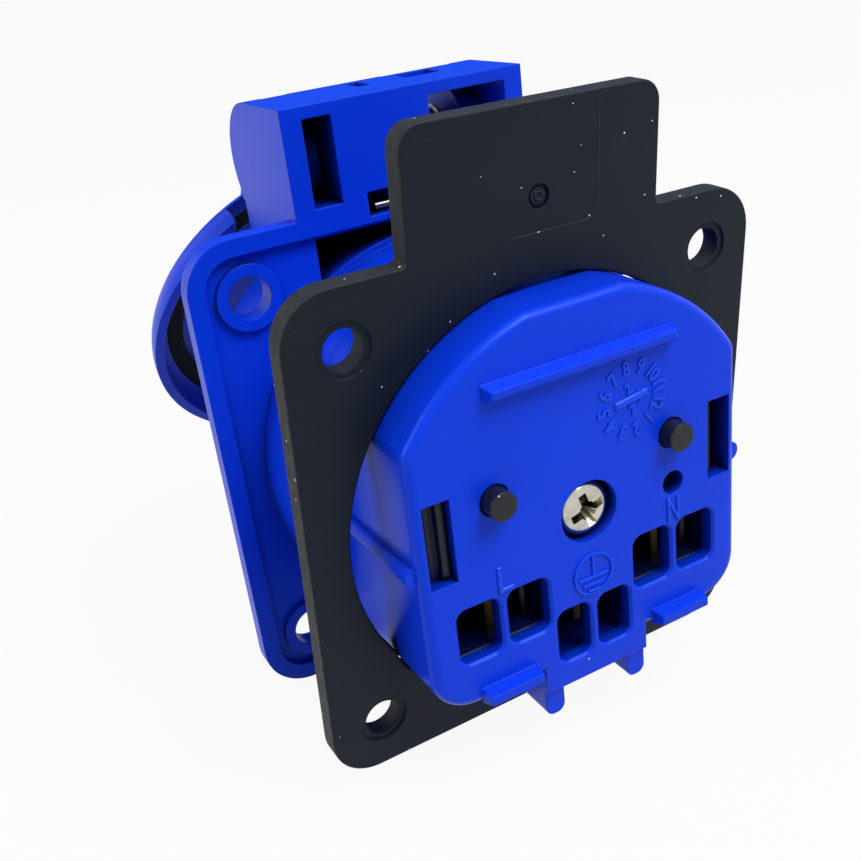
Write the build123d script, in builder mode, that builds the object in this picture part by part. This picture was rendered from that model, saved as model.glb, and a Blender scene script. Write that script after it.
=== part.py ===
"""Panel socket for earthed side-clip plugs, with a sprung round lid and a loose panel gasket.

X runs across the flange, +Y points behind the panel to the wiring end, +Z is up.
The origin is on the socket's axis, in the plane of the flange's rear rim.
"""
from build123d import *
from math import cos, radians, sin, sqrt, tan
import os

os.makedirs("parts", exist_ok=True)

# Flange and its four fixing holes
flange_side = 50.0
flange_corner_r = 5.0
flange_t = 2.6
flange_edge_r = 0.8
rim_w = 1.75
field_depth = 0.8
fixing_pitch = 38.0
fixing_hole_r = 2.15
fixing_boss_r = 3.3
fixing_boss_drop = 0.2

# Round body behind the flange and the collar in front of it
body_r = 20.7
recess_r = 19.5
recess_depth = 17.5
collar_r = 21.4
collar_front = 14.5
base_t = 5.0
base_front = recess_depth - collar_front
base_rear = base_front + base_t

# Plug guidance and pin holes in the recess
pin_spacing = 19.0
pin_hole_r = 2.75
pin_hole_lead = 0.6
guide_rib_w = 4.6
guide_rib_h = 1.6

# Hinge block over the flange
block_w = 26.4
block_top = 35.4
pivot_y = -8.5
pivot_z = 29.3
nose_y = -9.5
nose_r = 6.0
nose_end_angle = 28.0
neck_front = 13.9
neck_z = 25.2
slot_inner_x = 8.1
slot_outer_x = 11.1
spring_bay_x = 2.3
knuckle_room_r = 5.5
slot_floor_z = 21.2
slot_upper_angle = 80.0
slot_lower_angle = 75.0
rear_window_low = 25.8
rear_window_high = 34.2
leg_window_x = 5.5
leg_window_low = 23.9
leg_window_high = 26.3
leg_window_depth = 3.0
pocket_w = 22.6
pocket_top = 22.8
pocket_depth = 10.0
roof_hole_rear = 5.4
roof_hole_front = 9.0

# Hinge pin
pin_r = 1.25
pin_fit = 0.03
knuckle_fit = 0.07
pin_blind_wall = 1.2
pin_end_drop = 0.2

# Lid, drawn closed and then swung open
lid_r = 23.4
lid_wrap = 2.7
lid_side = 0.4
lid_edge_r = 5.2
lid_crown = 0.4
lid_flat_r = 13.0
lid_rim_w = 1.1
lid_throat_r = 21.75
lid_gap = 0.2
lid_notch_play = 0.5
lid_notch_low = 12.0
lid_open_angle = 33.0
knuckle_r = 4.6
knuckle_side_play = 0.2
arm_t = 3.4
arm_length = 10.2
bridge_top = 24.6
bridge_gap = 0.55
bridge_front_drop = 0.2
lip_w = 12.0
lip_reach = 2.2

# Lid seal
seal_outer_r = 20.9
seal_w = 2.0
seal_t = 1.2

# Lid spring
wire_r = 0.45
coil_r = 2.3
coil_turns = 4
coil_steps = 12
coil_pitch = 1.15
coil_start_x = 2.85
fixed_leg_drop_y = -2.5
fixed_leg_y = -1.4
fixed_leg_z = 24.5
fixed_leg_end = 4.3
lid_leg_length = 8.9

# Gasket that has slid back along the body, and how it hangs there
gasket_side = 48.8
gasket_corner_r = 4.6
gasket_t = 2.2
gasket_bore_r = 21.25
gasket_bore_x = -0.3
gasket_bore_z = -0.25
gasket_relief = 0.35
gasket_hole_r = 2.05
gasket_ring_r = 2.5
gasket_ring_depth = 0.35
tab_w = 25.7
tab_top = 35.35
tab_corner_r = 2.0
tab_root_r = 0.5
gate_z = 27.6
gate_r = 1.25
gate_nub_r = 0.5
gate_depth = 0.45
gasket_back = 19.6
gasket_shift_x = 0.5
gasket_shift_z = 0.3
gasket_lean = -3.7
gasket_turn = 1.7
gasket_roll = -1.2

# Terminal cover
cover_rear = 26.05
cover_side_x = 17.5
cover_top = 20.1
cover_bottom = 15.2
cover_corner_r = 4.2
cover_soft_r = 1.8
cover_wall = 1.5
cover_edge_r = 0.9
fin_drop = 0.5
cover_seat_gap = 0.05
cover_foot_t = 1.6
side_rib_r = 1.0
side_rib_z = -0.3
side_rib_end = 25.2
long_rib_w = 20.0
long_rib_t = 1.5
long_rib_z = 14.6
rib_h = 1.2
short_rib_w = 6.2
short_rib_x = 9.8
short_rib_z = -14.4
short_rib_h = 1.4
window_x = 15.225
window_w = 2.65
window_z = 2.35
window_h = 8.1
window_depth = 3.2
peg_x = 9.6
peg_z = 4.7
peg_r = 1.35
peg_fit = 0.15
peg_out = 1.5
test_hole_x = -9.65
test_hole_z = -0.5
test_hole_r = 1.2

# Wire entries: two for each pole and two for earth
entry_w = 4.4
entry_h = 5.7
entry_corner_r = 1.0
entry_lip = 0.25
pole_entry_x = (7.05, 12.3)
pole_entry_z = -7.75
earth_entry_x = 2.3
earth_entry_w = 3.7
earth_entry_z = -12.3

# Foot under the earth entries, with its two fins
foot_half_w = 5.9
foot_low = 17.7
foot_length = 8.0
fin_t = 2.1
fin_low = 20.8
fin_length = 6.6
fin_tip_r = 0.9

# Cover screw
screw_recess_r = 3.05
screw_head_r = 2.45
screw_head_h = 1.7
screw_head_below = 0.75
screw_cup_floor = 1.2
screw_cup_wall = 1.0
screw_r = 1.45
screw_hole_r = 1.65
screw_length = 16.0
screw_pilot_fit = 0.05
cross_w = 0.75
cross_span = 2.6
cross_depth = 1.0
boss_r = 3.2
boss_length = 5.0

# Contact carrier
carrier_fit = 0.25
carrier_front_gap = 0.15
carrier_rear_gap = 0.1
carrier_room_front = 12.0
carrier_slot_rear = 23.2
latch_ridge_w = 0.7
latch_ridge_h = 0.8

# Current-carrying strips
strip_t = 0.8
tube_in_r = 2.25
tube_t = 0.75
tube_slit = 0.9
tube_length = 8.0
tube_room = 0.15
tube_blade_rear = 23.0
earth_strap_w = 5.0
earth_eye_r = 5.4
earth_clip_z = 18.4
earth_clip_reach = 11.5
earth_bow = 2.2
earth_blade_h = 2.9
strap_channel = 1.0
strip_play = 0.15

# Springs on the contacts and in the clamps
grip_t = 0.5
grip_length = 4.0
grip_gap = 0.05
clamp_t = 0.4
clamp_side_play = 0.35
clamp_bend_r = 0.55
clamp_front = 13.0
clamp_apex = 24.9
clamp_tip = 15.5
clamp_tip_gap = 0.1


def at_y(y):
    """Sketch plane across the socket at a depth, with X to the right and Z up."""
    return Plane.XZ.offset(-y)


def cover_outline(inset):
    """Section of the wiring end, moved in by inset: round on top, square below."""
    with BuildSketch(mode=Mode.PRIVATE) as outline:
        Circle(body_r - inset)
        with Locations((0, (cover_top - inset) / 2)):
            Rectangle(2 * (cover_side_x - inset), cover_top - inset, mode=Mode.INTERSECT)
        with Locations((0, -(cover_bottom - inset) / 2)):
            Rectangle(2 * (cover_side_x - inset), cover_bottom - inset)
        fillet(outline.vertices().group_by(Axis.Y)[0], cover_corner_r - inset)
        fillet(outline.vertices().filter_by(lambda v: v.Y > cover_side_x / 2), cover_soft_r)
    return outline.sketch_local


def entry_row():
    """Places of the four pole entries in a sketch across the socket."""
    return [(side * x, pole_entry_z) for side in (1, -1) for x in pole_entry_x]


def clamp_blade(wall_x, strip_x):
    """Plan of one folded clamp spring, from the wall it leans on to the strip it presses."""
    with BuildSketch(mode=Mode.PRIVATE) as blade:
        with BuildLine():
            FilletPolyline(
                (wall_x, clamp_front), (wall_x, clamp_apex), (strip_x, clamp_tip), radius=clamp_bend_r
            )
        trace(line_width=clamp_t)
    return blade.sketch_local


def hinge_cut():
    """Side view of the room that a lid arm swings in, drawn in Y and Z."""
    reach = 4 * nose_r
    up = radians(slot_upper_angle)
    down = radians(slot_lower_angle)
    with BuildSketch(mode=Mode.PRIVATE) as room:
        with BuildLine():
            Polyline(
                (pivot_y, pivot_z),
                (pivot_y - reach * cos(up), pivot_z + reach * sin(up)),
                (pivot_y - reach, pivot_z + reach),
                (pivot_y - reach, slot_floor_z),
                (pivot_y - (pivot_z - slot_floor_z) / tan(down), slot_floor_z),
                close=True,
            )
        make_face()
        with Locations((pivot_y, pivot_z)):
            Circle(knuckle_room_r)
        with Locations((pivot_y / 2, (rear_window_low + rear_window_high) / 2)):
            Rectangle(-pivot_y, rear_window_high - rear_window_low)
    return room.sketch_local


with BuildPart() as socket_housing:
    # Flange plate, rounded along its front edge
    with BuildSketch(at_y(0)):
        RectangleRounded(flange_side, flange_side, flange_corner_r)
    extrude(amount=flange_t)
    fillet(socket_housing.faces().sort_by(Axis.Y)[0].edges(), flange_edge_r)
    # Body, collar and the hinge block with its rounded nose and narrow neck
    with BuildSketch(at_y(base_rear)):
        Circle(body_r)
    extrude(amount=base_rear + flange_t / 2)
    with BuildSketch(at_y(-flange_t / 2)):
        Circle(collar_r)
    extrude(amount=collar_front - flange_t / 2)
    with BuildSketch(Plane.YZ):
        with BuildLine():
            Line((0, recess_r), (0, block_top))
            Line((0, block_top), (nose_y, block_top))
            nose = CenterArc((nose_y, block_top - nose_r), nose_r, 90, 90 + nose_end_angle)
            neck = JernArc(nose @ 1, nose % 1, nose_r / 2, -nose_end_angle)
            Line(neck @ 1, (-neck_front, neck_z))
            Line((-neck_front, neck_z), (-neck_front, recess_r))
            Line((-neck_front, recess_r), (0, recess_r))
        make_face()
    extrude(amount=block_w / 2, both=True)
    with BuildSketch(at_y(0)):
        with Locations((0, recess_r - guide_rib_w / 2)):
            Rectangle(block_w, guide_rib_w)
    extrude(amount=neck_front)
    # Rear field inside the rim, with a ring left round each fixing hole
    with BuildSketch(at_y(0)):
        RectangleRounded(flange_side - 2 * rim_w, flange_side - 2 * rim_w, flange_corner_r - rim_w)
        Circle(body_r, mode=Mode.SUBTRACT)
        with GridLocations(fixing_pitch, fixing_pitch, 2, 2):
            Circle(fixing_boss_r, mode=Mode.SUBTRACT)
    extrude(amount=field_depth, mode=Mode.SUBTRACT)
    with BuildSketch(at_y(0)):
        with GridLocations(fixing_pitch, fixing_pitch, 2, 2):
            Circle(fixing_boss_r)
    extrude(amount=fixing_boss_drop, mode=Mode.SUBTRACT)
    with BuildSketch(at_y(0)):
        with GridLocations(fixing_pitch, fixing_pitch, 2, 2):
            Circle(fixing_hole_r)
    extrude(amount=flange_t, mode=Mode.SUBTRACT)
    # Cored pocket between the collar and the hinge block
    with BuildSketch(at_y(0)):
        with Locations((0, pocket_top / 2)):
            Rectangle(pocket_w, pocket_top)
        Circle(collar_r, mode=Mode.SUBTRACT)
    extrude(amount=pocket_depth, mode=Mode.SUBTRACT)
    # Arm slot on one side, arm slot and spring bay together on the other
    with BuildSketch(Plane.YZ.offset(slot_inner_x)):
        add(hinge_cut())
    extrude(amount=slot_outer_x - slot_inner_x, mode=Mode.SUBTRACT)
    with BuildSketch(Plane.YZ.offset(-slot_outer_x)):
        add(hinge_cut())
    extrude(amount=slot_outer_x - spring_bay_x, mode=Mode.SUBTRACT)
    # Window for the spring's fixed leg, and the two openings in the roof
    with BuildSketch(at_y(0)):
        with Locations(((leg_window_x - slot_inner_x) / 2, (leg_window_low + leg_window_high) / 2)):
            Rectangle(leg_window_x + slot_inner_x, leg_window_high - leg_window_low)
    extrude(amount=leg_window_depth, mode=Mode.SUBTRACT)
    with BuildSketch(Plane.XY.offset(block_top)):
        with Locations((-(spring_bay_x + slot_inner_x) / 2, -(roof_hole_rear + roof_hole_front) / 2)):
            Rectangle(slot_inner_x - spring_bay_x - 2 * strip_t, roof_hole_front - roof_hole_rear)
    extrude(amount=-(block_top - pivot_z), mode=Mode.SUBTRACT)
    with BuildSketch(Plane.XY.offset(block_top)):
        with Locations((strip_t * 2, -(roof_hole_rear + roof_hole_front) / 2)):
            Rectangle(2 * strip_t, roof_hole_front - roof_hole_rear)
    extrude(amount=-field_depth, mode=Mode.SUBTRACT)
    # Pin bore, blind at one end
    with BuildSketch(Plane.YZ.offset(-block_w / 2)):
        with Locations((pivot_y, pivot_z)):
            Circle(pin_r + pin_fit)
    extrude(amount=block_w - pin_blind_wall, mode=Mode.SUBTRACT)
    # Plug recess with its two guide ribs
    with BuildSketch(at_y(base_front)):
        Circle(recess_r)
        for side in (1, -1):
            with Locations((side * recess_r, 0)):
                Rectangle(2 * guide_rib_h, guide_rib_w, mode=Mode.SUBTRACT)
    extrude(amount=recess_depth, mode=Mode.SUBTRACT)
    # Pin holes, earth-clip slots and the boss that the cover screw holds in
    with BuildSketch(at_y(base_rear)):
        with GridLocations(pin_spacing, 0, 2, 1):
            Circle(pin_hole_r)
        with GridLocations(0, 2 * earth_clip_z, 1, 2):
            Rectangle(earth_strap_w + 2 * strip_play, strip_t + 2 * strip_play)
    extrude(amount=base_t, mode=Mode.SUBTRACT)
    with BuildSketch(at_y(base_rear)):
        Rectangle(earth_strap_w + 2 * strip_play, 2 * earth_clip_z + strip_t + 2 * strip_play)
        Circle(earth_eye_r + strip_play)
    extrude(amount=strap_channel, mode=Mode.SUBTRACT)
    with BuildSketch(at_y(base_rear + boss_length)):
        Circle(boss_r)
    extrude(amount=boss_length + strap_channel)
    with BuildSketch(at_y(base_rear + boss_length)):
        Circle(screw_r + screw_pilot_fit)
    extrude(amount=boss_length + base_t / 2, mode=Mode.SUBTRACT)
    pin_mouths = (
        socket_housing.edges()
        .filter_by(GeomType.CIRCLE)
        .filter_by(lambda e: abs(e.center().Y - base_front) < 0.01 and abs(e.radius - pin_hole_r) < 0.01)
    )
    chamfer(pin_mouths, pin_hole_lead)
socket_housing.part.label = "socket_housing"
export_step(socket_housing.part, "parts/socket_housing.step")

foot_z = (foot_low + cover_bottom - cover_wall) / 2
inner_rear = cover_rear - cover_wall
screw_seat = cover_rear - screw_head_below - screw_head_h

with BuildPart() as terminal_cover:
    with BuildSketch(at_y(cover_rear)):
        add(cover_outline(0))
    extrude(amount=cover_rear - base_rear - cover_seat_gap)
    fillet(terminal_cover.faces().sort_by(Axis.Y)[-1].edges(), cover_edge_r)
    with BuildSketch(at_y(base_rear + cover_foot_t)):
        Circle(body_r)
    extrude(amount=cover_foot_t - cover_seat_gap)
    # Foot under the earth entries, with a fin on both sides
    with BuildSketch(at_y(cover_rear)):
        with Locations((0, -foot_z)):
            Rectangle(2 * foot_half_w, foot_low - cover_bottom + cover_wall)
    extrude(amount=foot_length)
    with BuildSketch(at_y(cover_rear - fin_drop)) as fins:
        for side in (1, -1):
            with Locations((side * (foot_half_w - fin_t / 2), -(fin_low + cover_bottom) / 2)):
                Rectangle(fin_t, fin_low - cover_bottom)
        fillet(fins.vertices().group_by(Axis.Y)[0], fin_tip_r)
    extrude(amount=fin_length)
    # Hollow for the carrier, with the cup that the screw head sinks into
    with BuildSketch(at_y(inner_rear)):
        add(cover_outline(cover_wall))
    extrude(amount=inner_rear - base_rear, mode=Mode.SUBTRACT)
    # Windows in the rear corners of both sides
    with BuildSketch(at_y(cover_rear)):
        with Locations((window_x, window_z), (-window_x, window_z)):
            Rectangle(window_w, window_h)
    extrude(amount=window_depth, mode=Mode.SUBTRACT)
    with BuildSketch(at_y(inner_rear)):
        Circle(screw_recess_r + screw_cup_wall)
    extrude(amount=inner_rear - screw_seat + screw_cup_floor)
    with BuildSketch(at_y(cover_rear)):
        Circle(screw_recess_r)
    extrude(amount=cover_rear - screw_seat, mode=Mode.SUBTRACT)
    with BuildSketch(at_y(screw_seat)):
        Circle(screw_hole_r)
    extrude(amount=screw_cup_floor, mode=Mode.SUBTRACT)
    # Wire entries, with bevelled lips
    for lip, depth, slope in ((0, cover_wall, 0), (entry_lip, entry_lip, 45)):
        with BuildSketch(at_y(cover_rear)):
            with Locations(*entry_row()):
                RectangleRounded(entry_w + 2 * lip, entry_h + 2 * lip, entry_corner_r + lip)
            with Locations((earth_entry_x, earth_entry_z), (-earth_entry_x, earth_entry_z)):
                RectangleRounded(earth_entry_w + 2 * lip, entry_h + 2 * lip, entry_corner_r + lip)
        extrude(amount=depth, taper=slope, mode=Mode.SUBTRACT)
    # Room under the earth entries, inside the foot
    with BuildSketch(at_y(inner_rear)):
        with Locations((0, -cover_bottom + cover_wall / 2)):
            Rectangle(2 * earth_entry_x + earth_entry_w, cover_wall + 2 * strip_play)
    extrude(amount=foot_length - 2 * cover_wall, mode=Mode.SUBTRACT)
    # Peg holes and the small test hole
    with BuildSketch(at_y(cover_rear)):
        with Locations((peg_x, peg_z), (-peg_x, peg_z)):
            Circle(peg_r + peg_fit)
        with Locations((test_hole_x, test_hole_z)):
            Circle(test_hole_r)
    extrude(amount=cover_wall, mode=Mode.SUBTRACT)
    # Raised ribs on the rear face
    with BuildSketch(at_y(cover_rear)):
        with Locations((0, long_rib_z)):
            Rectangle(long_rib_w, long_rib_t)
    extrude(amount=-rib_h, taper=20)
    with BuildSketch(at_y(cover_rear)):
        with Locations((short_rib_x, short_rib_z), (-short_rib_x, short_rib_z)):
            Rectangle(short_rib_w, long_rib_t)
    extrude(amount=-short_rib_h, taper=12)
    # Half-round rib along each side wall
    with BuildSketch(at_y(side_rib_end)):
        with Locations((cover_side_x, side_rib_z), (-cover_side_x, side_rib_z)):
            Circle(side_rib_r)
        add(cover_outline(cover_wall / 2), mode=Mode.SUBTRACT)
    extrude(amount=side_rib_end - base_rear - cover_seat_gap)
terminal_cover.part.label = "terminal_cover"
export_step(terminal_cover.part, "parts/terminal_cover.step")

carrier_front = base_rear + carrier_front_gap
carrier_rear = inner_rear - carrier_rear_gap
blade_x = sum(pole_entry_x) / 2
room_half_w = (pole_entry_x[1] - pole_entry_x[0] + entry_w) / 2
earth_room_half_w = earth_entry_x + earth_entry_w / 2 + strip_play
tube_out_r = tube_in_r + tube_t
grip_out_r = tube_out_r + grip_gap + grip_t
slot_w = strip_t + 2 * strip_play
tube_rear = base_rear + carrier_front_gap + tube_length
blade_low = pole_entry_z - entry_h / 2

with BuildPart() as contact_carrier:
    with BuildSketch(at_y(carrier_rear)):
        add(cover_outline(cover_wall + carrier_fit))
    extrude(amount=carrier_rear - carrier_front)
    # Pegs that show through the cover, and the ridges seen in its side windows
    with BuildSketch(at_y(cover_rear + peg_out)):
        with Locations((peg_x, peg_z), (-peg_x, peg_z)):
            Circle(peg_r)
    extrude(amount=cover_rear + peg_out - carrier_rear)
    with BuildSketch(at_y(carrier_rear + latch_ridge_h)):
        with Locations((window_x - latch_ridge_w, window_z), (-window_x + latch_ridge_w, window_z)):
            Rectangle(latch_ridge_w, window_h - latch_ridge_w)
    extrude(amount=latch_ridge_h)
    # Middle: room for the base's boss, the screw and the cover's cup
    with BuildSketch(at_y(base_rear + boss_length + carrier_fit)):
        Circle(boss_r + carrier_fit)
    extrude(amount=boss_length + carrier_fit, mode=Mode.SUBTRACT)
    with BuildSketch(at_y(carrier_rear)):
        Circle(screw_hole_r)
    extrude(amount=carrier_rear - carrier_front, mode=Mode.SUBTRACT)
    with BuildSketch(at_y(carrier_rear)):
        Circle(screw_recess_r + screw_cup_wall + carrier_fit)
    extrude(amount=carrier_rear - screw_seat + screw_cup_floor + carrier_fit, mode=Mode.SUBTRACT)
    # Rooms for the contact tubes and the tips of the plug's pins
    with BuildSketch(at_y(tube_rear + carrier_fit)):
        with GridLocations(pin_spacing, 0, 2, 1):
            Circle(grip_out_r + tube_room)
    extrude(amount=tube_rear + carrier_fit - carrier_front, mode=Mode.SUBTRACT)
    with BuildSketch(at_y(carrier_slot_rear)):
        with GridLocations(pin_spacing, 0, 2, 1):
            Circle(pin_hole_r)
        with Locations((blade_x, blade_low / 2), (-blade_x, blade_low / 2)):
            Rectangle(slot_w, -blade_low)
    extrude(amount=carrier_slot_rear - carrier_front, mode=Mode.SUBTRACT)
    # Wire rooms behind the entries
    with BuildSketch(at_y(carrier_rear)):
        with Locations((blade_x, pole_entry_z), (-blade_x, pole_entry_z)):
            Rectangle(2 * (room_half_w + strip_play), entry_h)
        with Locations((0, earth_entry_z)):
            Rectangle(2 * earth_room_half_w, entry_h)
    extrude(amount=carrier_rear - carrier_room_front, mode=Mode.SUBTRACT)
    with BuildSketch(at_y(carrier_rear)):
        with Locations((0, earth_entry_z)):
            Rectangle(slot_w, entry_h)
    extrude(amount=carrier_rear - carrier_front, mode=Mode.SUBTRACT)
contact_carrier.part.label = "contact_carrier"
export_step(contact_carrier.part, "parts/contact_carrier.step")

with BuildPart() as live_contact:
    with BuildSketch(at_y(tube_rear)):
        with Locations((pin_spacing / 2, 0)):
            Circle(tube_out_r)
    extrude(amount=tube_length)
    with BuildSketch(at_y(tube_blade_rear)):
        with Locations((blade_x, (blade_low - tube_in_r - tube_t / 2) / 2)):
            Rectangle(strip_t, -blade_low - tube_in_r - tube_t / 2)
    extrude(amount=tube_blade_rear - tube_rear + tube_length)
    with BuildSketch(at_y(tube_rear)):
        with Locations((pin_spacing / 2, 0)):
            Circle(tube_in_r)
        with Locations((pin_spacing / 2, tube_out_r / 2 + tube_t)):
            Rectangle(tube_slit, tube_out_r)
    extrude(amount=tube_length, mode=Mode.SUBTRACT)
live_contact.part.label = "live_contact"
export_step(live_contact.part, "parts/live_contact.step")

with BuildPart() as neutral_contact:
    with BuildSketch(at_y(tube_rear)):
        with Locations((-pin_spacing / 2, 0)):
            Circle(tube_out_r)
    extrude(amount=tube_length)
    with BuildSketch(at_y(tube_blade_rear)):
        with Locations((-blade_x, (blade_low - tube_in_r - tube_t / 2) / 2)):
            Rectangle(strip_t, -blade_low - tube_in_r - tube_t / 2)
    extrude(amount=tube_blade_rear - tube_rear + tube_length)
    with BuildSketch(at_y(tube_rear)):
        with Locations((-pin_spacing / 2, 0)):
            Circle(tube_in_r)
        with Locations((-pin_spacing / 2, tube_out_r / 2 + tube_t)):
            Rectangle(tube_slit, tube_out_r)
    extrude(amount=tube_length, mode=Mode.SUBTRACT)
neutral_contact.part.label = "neutral_contact"
export_step(neutral_contact.part, "parts/neutral_contact.step")

grip_rear = tube_rear - (tube_length - grip_length) / 2

with BuildPart() as live_grip_spring:
    with BuildSketch(at_y(grip_rear)):
        with Locations((pin_spacing / 2, 0)):
            Circle(grip_out_r)
            Circle(tube_out_r + grip_gap, mode=Mode.SUBTRACT)
        with Locations((blade_x, -grip_out_r)):
            Rectangle(2 * slot_w, 2 * tube_t + grip_t, mode=Mode.SUBTRACT)
    extrude(amount=grip_length)
live_grip_spring.part.label = "live_grip_spring"
export_step(live_grip_spring.part, "parts/live_grip_spring.step")

with BuildPart() as neutral_grip_spring:
    with BuildSketch(at_y(grip_rear)):
        with Locations((-pin_spacing / 2, 0)):
            Circle(grip_out_r)
            Circle(tube_out_r + grip_gap, mode=Mode.SUBTRACT)
        with Locations((-blade_x, -grip_out_r)):
            Rectangle(2 * slot_w, 2 * tube_t + grip_t, mode=Mode.SUBTRACT)
    extrude(amount=grip_length)
neutral_grip_spring.part.label = "neutral_grip_spring"
export_step(neutral_grip_spring.part, "parts/neutral_grip_spring.step")

clip_tip_y = base_front - earth_clip_reach
strap_rear = base_rear - strip_play / 2
earth_blade_z = cover_wall - cover_bottom + carrier_fit + earth_blade_h / 2

with BuildPart() as earth_strap:
    with BuildSketch(at_y(strap_rear)):
        Rectangle(earth_strap_w, 2 * earth_clip_z + strip_t)
        Circle(earth_eye_r)
        Circle(boss_r + strip_play, mode=Mode.SUBTRACT)
    extrude(amount=strip_t)
    # Side clips, bowed into the recess at the top and at the bottom
    with BuildSketch(Plane.YZ.offset(-earth_strap_w / 2)):
        for side in (1, -1):
            with BuildLine():
                FilletPolyline(
                    (strap_rear - strip_t / 2, side * earth_clip_z),
                    (base_front - strip_t, side * earth_clip_z),
                    (clip_tip_y + 2 * strip_t, side * (earth_clip_z - earth_bow)),
                    (clip_tip_y, side * (earth_clip_z - earth_bow / 2)),
                    radius=strip_t,
                )
            trace(line_width=strip_t)
    extrude(amount=earth_strap_w)
    with BuildSketch(at_y(tube_blade_rear)):
        with Locations((0, earth_blade_z)):
            Rectangle(strip_t, earth_blade_h)
    extrude(amount=tube_blade_rear - strap_rear)
earth_strap.part.label = "earth_strap"
export_step(earth_strap.part, "parts/earth_strap.step")

pole_clamp_h = entry_h - 2 * clamp_side_play
earth_clamp_h = earth_blade_h
outer_wall_x = blade_x + room_half_w - clamp_t / 2
outer_tip_x = blade_x + strip_t / 2 + clamp_tip_gap + clamp_t / 2
inner_wall_x = blade_x - room_half_w + clamp_t / 2
inner_tip_x = blade_x - strip_t / 2 - clamp_tip_gap - clamp_t / 2
earth_wall_x = earth_room_half_w - strip_play - clamp_t / 2
earth_tip_x = strip_t / 2 + clamp_tip_gap + clamp_t / 2

with BuildPart() as live_clamp_outer:
    with BuildSketch(Plane.XY.offset(pole_entry_z - pole_clamp_h / 2)):
        add(clamp_blade(outer_wall_x, outer_tip_x))
    extrude(amount=pole_clamp_h)
live_clamp_outer.part.label = "live_clamp_outer"
export_step(live_clamp_outer.part, "parts/live_clamp_outer.step")

with BuildPart() as live_clamp_inner:
    with BuildSketch(Plane.XY.offset(pole_entry_z - pole_clamp_h / 2)):
        add(clamp_blade(inner_wall_x, inner_tip_x))
    extrude(amount=pole_clamp_h)
live_clamp_inner.part.label = "live_clamp_inner"
export_step(live_clamp_inner.part, "parts/live_clamp_inner.step")

with BuildPart() as neutral_clamp_outer:
    with BuildSketch(Plane.XY.offset(pole_entry_z - pole_clamp_h / 2)):
        add(clamp_blade(-outer_wall_x, -outer_tip_x))
    extrude(amount=pole_clamp_h)
neutral_clamp_outer.part.label = "neutral_clamp_outer"
export_step(neutral_clamp_outer.part, "parts/neutral_clamp_outer.step")

with BuildPart() as neutral_clamp_inner:
    with BuildSketch(Plane.XY.offset(pole_entry_z - pole_clamp_h / 2)):
        add(clamp_blade(-inner_wall_x, -inner_tip_x))
    extrude(amount=pole_clamp_h)
neutral_clamp_inner.part.label = "neutral_clamp_inner"
export_step(neutral_clamp_inner.part, "parts/neutral_clamp_inner.step")

with BuildPart() as earth_clamp_left:
    with BuildSketch(Plane.XY.offset(earth_blade_z - earth_clamp_h / 2)):
        add(clamp_blade(earth_wall_x, earth_tip_x))
    extrude(amount=earth_clamp_h)
earth_clamp_left.part.label = "earth_clamp_left"
export_step(earth_clamp_left.part, "parts/earth_clamp_left.step")

with BuildPart() as earth_clamp_right:
    with BuildSketch(Plane.XY.offset(earth_blade_z - earth_clamp_h / 2)):
        add(clamp_blade(-earth_wall_x, -earth_tip_x))
    extrude(amount=earth_clamp_h)
earth_clamp_right.part.label = "earth_clamp_right"
export_step(earth_clamp_right.part, "parts/earth_clamp_right.step")

with BuildPart() as cover_screw:
    with BuildSketch(at_y(screw_seat + screw_head_h)):
        Circle(screw_head_r)
    extrude(amount=screw_head_h)
    chamfer(cover_screw.faces().sort_by(Axis.Y)[-1].edges(), screw_head_h / 3)
    with BuildSketch(at_y(screw_seat)):
        Circle(screw_r)
    extrude(amount=screw_length)
    chamfer(cover_screw.faces().sort_by(Axis.Y)[0].edges(), screw_r / 3)
    with BuildSketch(at_y(screw_seat + screw_head_h)):
        Rectangle(cross_span, cross_w)
        Rectangle(cross_w, cross_span)
    extrude(amount=cross_depth, mode=Mode.SUBTRACT)
cover_screw.part.label = "cover_screw"
export_step(cover_screw.part, "parts/cover_screw.step")

# The lid is drawn in its closed place and turned about the pin
pivot = Pos(0, pivot_y, pivot_z)
lid_swing = pivot * Rot(-lid_open_angle, 0, 0) * Pos(0, -pivot_y, -pivot_z)
lid_rim_y = lid_wrap - collar_front
lid_face_y = lid_rim_y - lid_side - lid_edge_r
seal_y = -(collar_front + lid_gap)
dish_y = seal_y - seal_t
bridge_y = -(collar_front + bridge_gap)
arm_run = arm_length / sqrt(2)
arm_side = arm_t / 2 / sqrt(2)


def lid_across(y):
    """Sketch plane across the lid at a depth it has when closed."""
    return Plane(lid_swing * Plane.XZ.offset(-y).location)


def lid_section(x):
    """Side-view sketch plane of the lid, with the closed Y to the right and Z up."""
    return Plane(lid_swing * Plane.YZ.offset(x).location)


lid_axis = Axis(lid_across(lid_rim_y).origin, lid_across(lid_rim_y).z_dir)

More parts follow.
